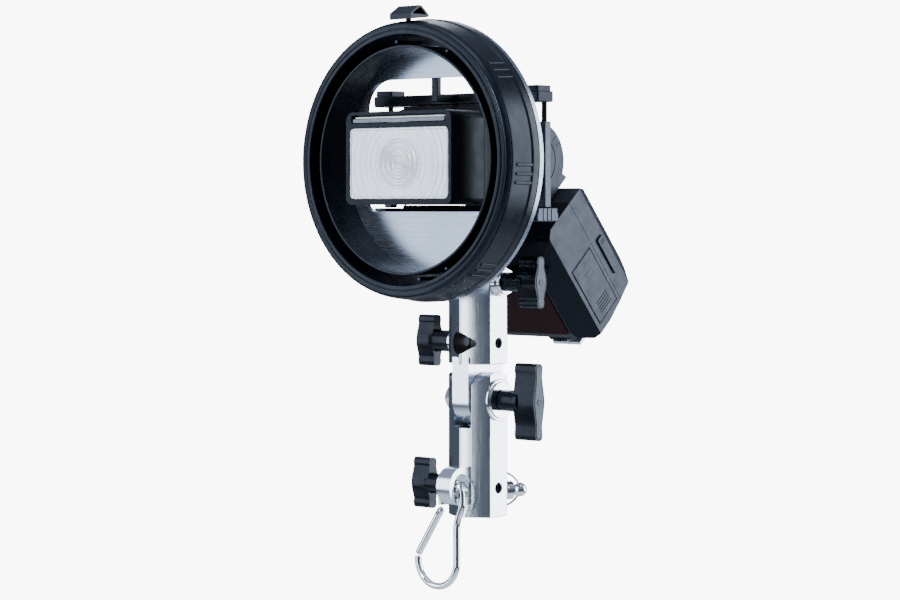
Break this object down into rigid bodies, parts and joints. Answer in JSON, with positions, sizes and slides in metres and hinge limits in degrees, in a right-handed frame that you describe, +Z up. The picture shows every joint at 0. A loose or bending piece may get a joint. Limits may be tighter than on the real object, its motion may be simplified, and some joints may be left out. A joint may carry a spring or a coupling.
{
  "type": "speed-ring flash bracket",
  "caption": "Tilting bayonet speed-ring bracket on a light-stand swivel, with a shoe-mount flash clamped by its head behind the ring.",
  "frame": {"origin": "centre of the stand socket's bottom face, on the axis of the stand's spigot", "axes": "+Z up along the spigot, the ring opens and the flash fires towards -Y, +X is the side with the tilt knob"},
  "size_m": [0.1564, 0.1649, 0.3241],
  "materials": {
    "aluminium": "satin anodised aluminium with fine draw lines",
    "chrome": "polished chrome plate",
    "plate_steel": "brushed sheet, bright cut edge",
    "black_steel": "black oxide steel, satin",
    "ring_plastic": "fine matte moulded plastic",
    "knob_plastic": "satin moulded plastic",
    "rubber": "matte ribbed rubber",
    "flash_plastic": "fine-grained moulded plastic",
    "lens_acrylic": "clear acrylic with moulded Fresnel rings",
    "mirror_film": "polished reflector sheet",
    "tube_glass": "clear quartz glass tube",
    "white_card": "matt white sheet",
    "ir_red": "dark red infrared-passing acrylic",
    "lcd": "display window",
    "board": "green circuit board",
    "cell": "shrink sleeve on the cells"
  },
  "bodies": {
    "swivel": {"swivel_base": "aluminium", "tilt_washer": "chrome", "tilt_bolt": "chrome", "stand_lock_boss": "chrome", "socket_grub_screw": "black_steel", "plunger_housing": "chrome", "pin_bail": "chrome"},
    "stand_lock": {"stand_lock_knob": "knob_plastic", "stand_lock_screw": "plate_steel"},
    "tilt_lock": {"tilt_knob": "knob_plastic"},
    "head_bracket": {"tilt_head": "aluminium", "umbrella_washer": "chrome", "umbrella_grub_screw": "black_steel", "ring_lock_bolt": "chrome", "ring_lock_collar": "chrome"},
    "umbrella_lock": {"umbrella_knob": "knob_plastic", "umbrella_screw": "black_steel"},
    "ring_lock": {"ring_lock_knob": "knob_plastic"},
    "safety_hook": {"carabiner_hook": "chrome"},
    "hook_gate": {"carabiner_gate": "chrome"},
    "spring_pin": {"plunger_pin": "chrome"},
    "ring": {"ring_foot": "aluminium", "mount_plate": "plate_steel", "ring_housing": "ring_plastic", "inner_sleeve": "ring_plastic", "lower_jaw": "black_steel", "lower_pad": "rubber", "guide_sleeve_left": "plate_steel", "guide_sleeve_right": "plate_steel", "jaw_spring_left": "plate_steel", "jaw_spring_right": "plate_steel", "head_shell": "flash_plastic", "head_front_frame": "flash_plastic", "fresnel_lens": "lens_acrylic", "reflector": "mirror_film", "flash_tube": "tube_glass"},
    "ring_release": {"release_lever": "ring_plastic"},
    "jaw": {"upper_jaw": "black_steel", "upper_pad": "rubber", "guide_rod_left": "black_steel", "guide_rod_right": "black_steel"},
    "diffuser_panel": {"wide_panel": "lens_acrylic"},
    "catchlight_card": {"bounce_card": "white_card"},
    "flash_neck": {"neck_yoke": "flash_plastic", "neck_axle": "plate_steel"},
    "tilt_button": {"tilt_release_button": "flash_plastic"},
    "flash_body": {"body_front_shell": "flash_plastic", "body_rear_shell": "flash_plastic", "ir_window": "ir_red", "lcd_window": "lcd", "main_capacitor": "black_steel", "control_board": "board", "battery_magazine": "cell", "port_cover": "rubber", "shoe_foot": "plate_steel"},
    "door": {"battery_door": "flash_plastic"},
    "dial": {"control_dial": "flash_plastic"},
    "button_left": {"left_button": "flash_plastic"},
    "button_right": {"right_button": "flash_plastic"},
    "shoe_lock": {"shoe_lock_ring": "flash_plastic"}
  },
  "joints": [
    {"name": "tilt", "type": "hinge", "parent": "swivel", "child": "head_bracket", "pos_m": [0, 0, 0.0656], "axis": [1, 0, 0], "range_deg": [-60, 90]},
    {"name": "tilt_knob_turn", "type": "hinge", "parent": "swivel", "child": "tilt_lock", "pos_m": [0, 0, 0.0656], "axis": [1, 0, 0], "continuous": true},
    {"name": "stand_lock_turn", "type": "hinge", "parent": "swivel", "child": "stand_lock", "pos_m": [0, 0, 0.0156], "axis": [1, 0, 0], "continuous": true},
    {"name": "umbrella_lock_turn", "type": "hinge", "parent": "head_bracket", "child": "umbrella_lock", "pos_m": [0, 0, 0.0975], "axis": [1, 0, 0], "continuous": true},
    {"name": "ring_lock_turn", "type": "hinge", "parent": "head_bracket", "child": "ring_lock", "pos_m": [0, 0, 0.132], "axis": [1, 0, 0], "continuous": true},
    {"name": "ring_lift", "type": "slide", "parent": "head_bracket", "child": "ring", "axis": [0, 0, 1], "range_m": [0, 0.014]},
    {"name": "hook_swing", "type": "hinge", "parent": "swivel", "child": "safety_hook", "pos_m": [0, -0.024, 0.0136], "axis": [1, 0, 0], "range_deg": [-60, 5]},
    {"name": "gate_open", "type": "hinge", "parent": "safety_hook", "child": "hook_gate", "pos_m": [-0.02342, -0.024, -0.02125], "axis": [0, 1, 0], "range_deg": [0, 20], "stiffness_Nm_per_rad": 0.02, "springref_deg": -17.19},
    {"name": "pin_pull", "type": "slide", "parent": "swivel", "child": "spring_pin", "axis": [0.4679, 0.8838, 0], "range_m": [0, 0.0035], "stiffness_N_per_m": 400, "springref_m": -0.004},
    {"name": "release_slide", "type": "slide", "parent": "ring", "child": "ring_release", "axis": [0, 1, 0], "range_m": [0, 0.0045], "stiffness_N_per_m": 300, "springref_m": -0.003},
    {"name": "jaw_lift", "type": "slide", "parent": "ring", "child": "jaw", "axis": [0, 0, 1], "range_m": [0, 0.014], "stiffness_N_per_m": 150, "springref_m": -0.03, "deforming": ["jaw_spring_left", "jaw_spring_right"]},
    {"name": "panel_pull", "type": "slide", "parent": "ring", "child": "diffuser_panel", "axis": [0, -1, 0], "range_m": [0, 0.03]},
    {"name": "card_pull", "type": "slide", "parent": "ring", "child": "catchlight_card", "axis": [0, -1, 0], "range_m": [0, 0.03]},
    {"name": "flash_tilt", "type": "hinge", "parent": "ring", "child": "flash_neck", "pos_m": [0, 0.0235, 0.2], "axis": [1, 0, 0], "range_deg": [-2, 49]},
    {"name": "flash_swivel", "type": "hinge", "parent": "flash_neck", "child": "flash_body", "pos_m": [0, 0.03491, 0.18077], "axis": [0, 0.6561, -0.7547], "range_deg": [-8, 8]},
    {"name": "tilt_button_press", "type": "slide", "parent": "flash_neck", "child": "tilt_button", "axis": [-1, 0, 0], "range_m": [0, 0.0012], "stiffness_N_per_m": 600, "springref_m": -0.0005},
    {"name": "door_swing", "type": "hinge", "parent": "flash_body", "child": "door", "pos_m": [0.0389, 0.06581, 0.13608], "axis": [0, -0.6561, 0.7547], "range_deg": [0, 95]},
    {"name": "dial_turn", "type": "hinge", "parent": "flash_body", "child": "dial", "pos_m": [0, 0.08393, 0.15183], "axis": [0, 0.7547, 0.6561], "continuous": true},
    {"name": "left_button_press", "type": "slide", "parent": "flash_body", "child": "button_left", "axis": [0, -0.7547, -0.6561], "range_m": [0, 0.0007], "stiffness_N_per_m": 600},
    {"name": "right_button_press", "type": "slide", "parent": "flash_body", "child": "button_right", "axis": [0, -0.7547, -0.6561], "range_m": [0, 0.0007], "stiffness_N_per_m": 600},
    {"name": "shoe_lock_turn", "type": "hinge", "parent": "flash_body", "child": "shoe_lock", "pos_m": [0, 0.08228, 0.10799], "axis": [0, 0.6561, -0.7547], "range_deg": [0, 60]}
  ]
}
